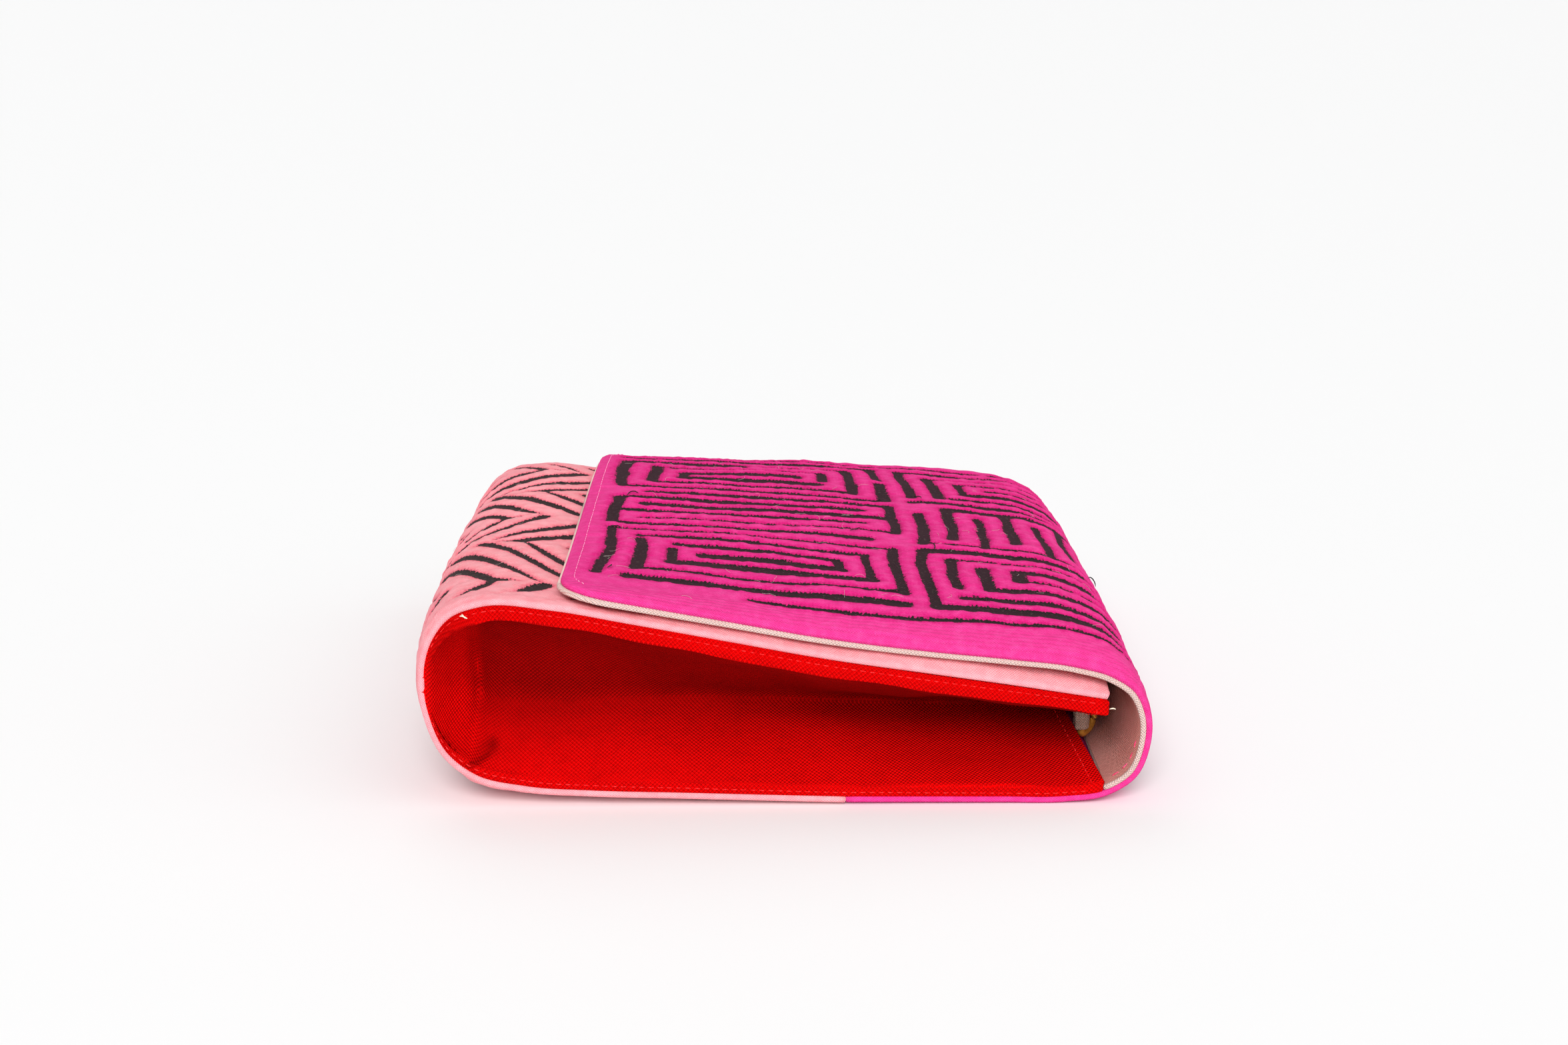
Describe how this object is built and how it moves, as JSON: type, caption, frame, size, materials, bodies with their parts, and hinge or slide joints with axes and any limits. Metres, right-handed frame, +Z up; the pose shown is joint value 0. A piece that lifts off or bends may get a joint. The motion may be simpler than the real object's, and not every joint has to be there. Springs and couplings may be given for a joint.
{
  "type": "mola clutch bag",
  "caption": "Small envelope clutch of mola cloth, closed and lying on its back: wrapped front, folded-over flap with round corners, tucked-in canvas sides and a ring in a tab.",
  "frame": {"origin": "centre of the bag's outline at the height of the surface it lies on", "axes": "+X from the bottom fold to the hinge, +Y from the near side to the far side, +Z up out of the flap"},
  "size_m": [0.153, 0.1521, 0.0467],
  "materials": {
    "front_panel": "salmon pink cotton applique over black, matte",
    "back_flap": "magenta cotton applique over black, matte",
    "flap_facing": "pale pink canvas, matte",
    "gusset": "red cotton canvas, matte",
    "ring_tab": "pale brushed cotton, matte",
    "d_ring": "polished brass"
  },
  "bodies": {
    "root": {"front_panel": "front_panel", "back_flap": "back_flap", "flap_facing": "flap_facing", "gusset_near": "gusset", "gusset_far": "gusset", "ring_tab": "ring_tab", "d_ring": "d_ring"}
  },
  "joints": []
}
